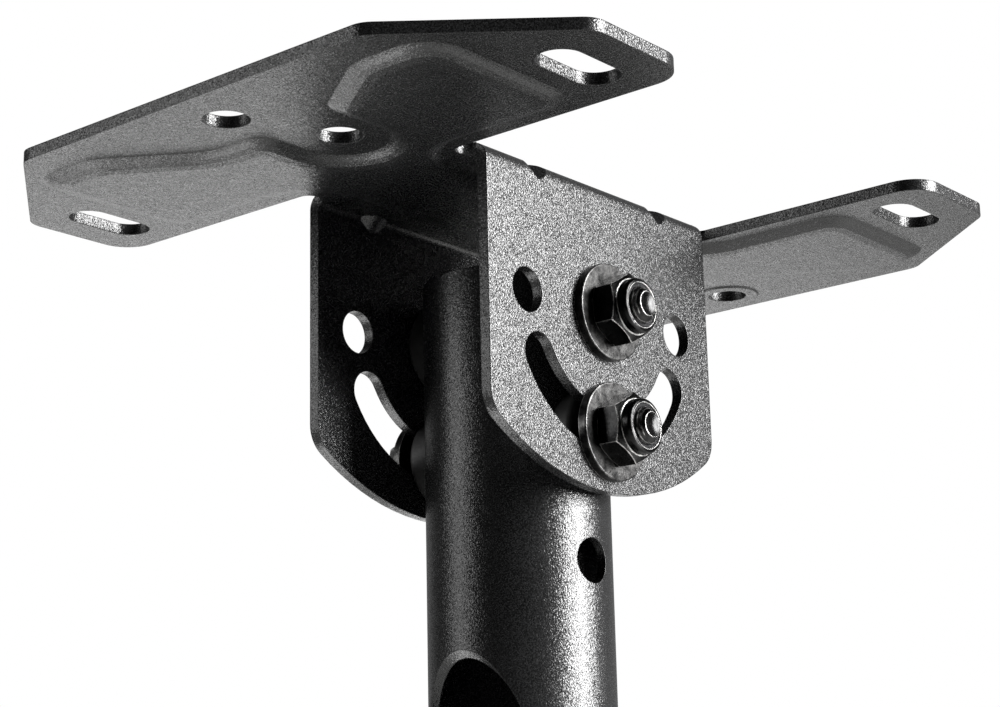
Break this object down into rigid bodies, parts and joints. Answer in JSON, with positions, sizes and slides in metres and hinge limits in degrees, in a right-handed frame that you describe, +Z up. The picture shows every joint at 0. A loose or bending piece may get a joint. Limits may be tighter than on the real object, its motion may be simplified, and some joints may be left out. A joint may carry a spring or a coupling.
{
  "type": "tv ceiling mount",
  "caption": "Tilting ceiling mount: a pressed and folded steel ceiling plate with two bent ears that clamp a round drop pole on a pivot bolt and a lock bolt in an arc slot.",
  "frame": {"origin": "on the ceiling plane, in the middle of the ceiling plate", "axes": "+Z up towards the ceiling; +X along the pivot bolt towards its nut; +Y across the ears, away from the pole's cable opening"},
  "size_m": [0.201, 0.249, 0.205],
  "materials": {
    "black_coat": "textured matte",
    "black_oxide": "satin",
    "nylon_insert": "matte",
    "bush_plastic": "satin"
  },
  "bodies": {
    "plate": {"ceiling_plate": "black_coat", "pivot_bolt": "black_oxide", "pivot_nut": "black_oxide", "pivot_washer_nut_side": "black_oxide", "pivot_washer_head_side": "black_oxide", "pivot_nut_ring": "nylon_insert"},
    "pole": {"drop_pole": "black_coat", "pivot_bush_nut_side": "bush_plastic", "pivot_bush_head_side": "bush_plastic", "lock_bolt": "black_oxide", "lock_nut": "black_oxide", "lock_washer_nut_side": "black_oxide", "lock_washer_head_side": "black_oxide", "lock_nut_ring": "nylon_insert", "lock_bush_nut_side": "bush_plastic", "lock_bush_head_side": "bush_plastic"}
  },
  "joints": [
    {"name": "tilt", "type": "hinge", "parent": "plate", "child": "pole", "pos_m": [0, 0, -0.0372], "axis": [1, 0, 0], "range_deg": [-60, 60]}
  ]
}
